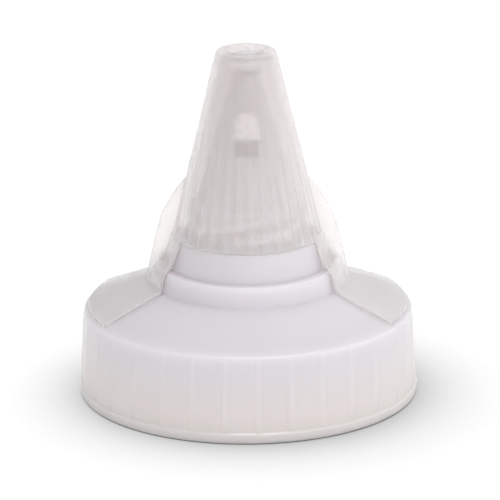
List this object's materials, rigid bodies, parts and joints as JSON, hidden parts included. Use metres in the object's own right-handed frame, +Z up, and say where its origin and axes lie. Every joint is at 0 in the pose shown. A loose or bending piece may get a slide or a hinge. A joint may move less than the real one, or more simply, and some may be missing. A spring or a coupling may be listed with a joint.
{
  "type": "twist-open pouring spout cap",
  "caption": "Screw-on bottle cap with a tall conical pouring spout; its winged, fluted nozzle twists up off a valve pin to open.",
  "frame": {"origin": "centre of the screw cap's lower rim, on the surface the cap stands on", "axes": "+Z up along the cap's axis towards the pouring tip; the wings stand along +X and -X; the front looks along -Y"},
  "size_m": [0.0425, 0.0424, 0.0439],
  "materials": {
    "cap_plastic": "satin",
    "nozzle_plastic": "satin",
    "gasket_foam": "matte",
    "seal_elastomer": "satin"
  },
  "bodies": {
    "cap": {"screw_cap": "cap_plastic", "mouth_gasket": "gasket_foam"},
    "tip_seal": {"orifice_seal": "seal_elastomer"},
    "nozzle": {"spout_nozzle": "nozzle_plastic"}
  },
  "joints": [
    {"name": "nozzle_lift", "type": "slide", "parent": "cap", "child": "tip_seal", "axis": [0, 0, 1], "range_m": [0, 0.0025]},
    {"name": "nozzle_twist", "type": "hinge", "parent": "tip_seal", "child": "nozzle", "pos_m": [0, 0, 0.0424], "axis": [0, 0, 1], "range_deg": [0, 90]}
  ],
  "couplings": [
    {"joint": "nozzle_lift", "follows": "nozzle_twist", "m_per_rad": 0.0015915}
  ]
}
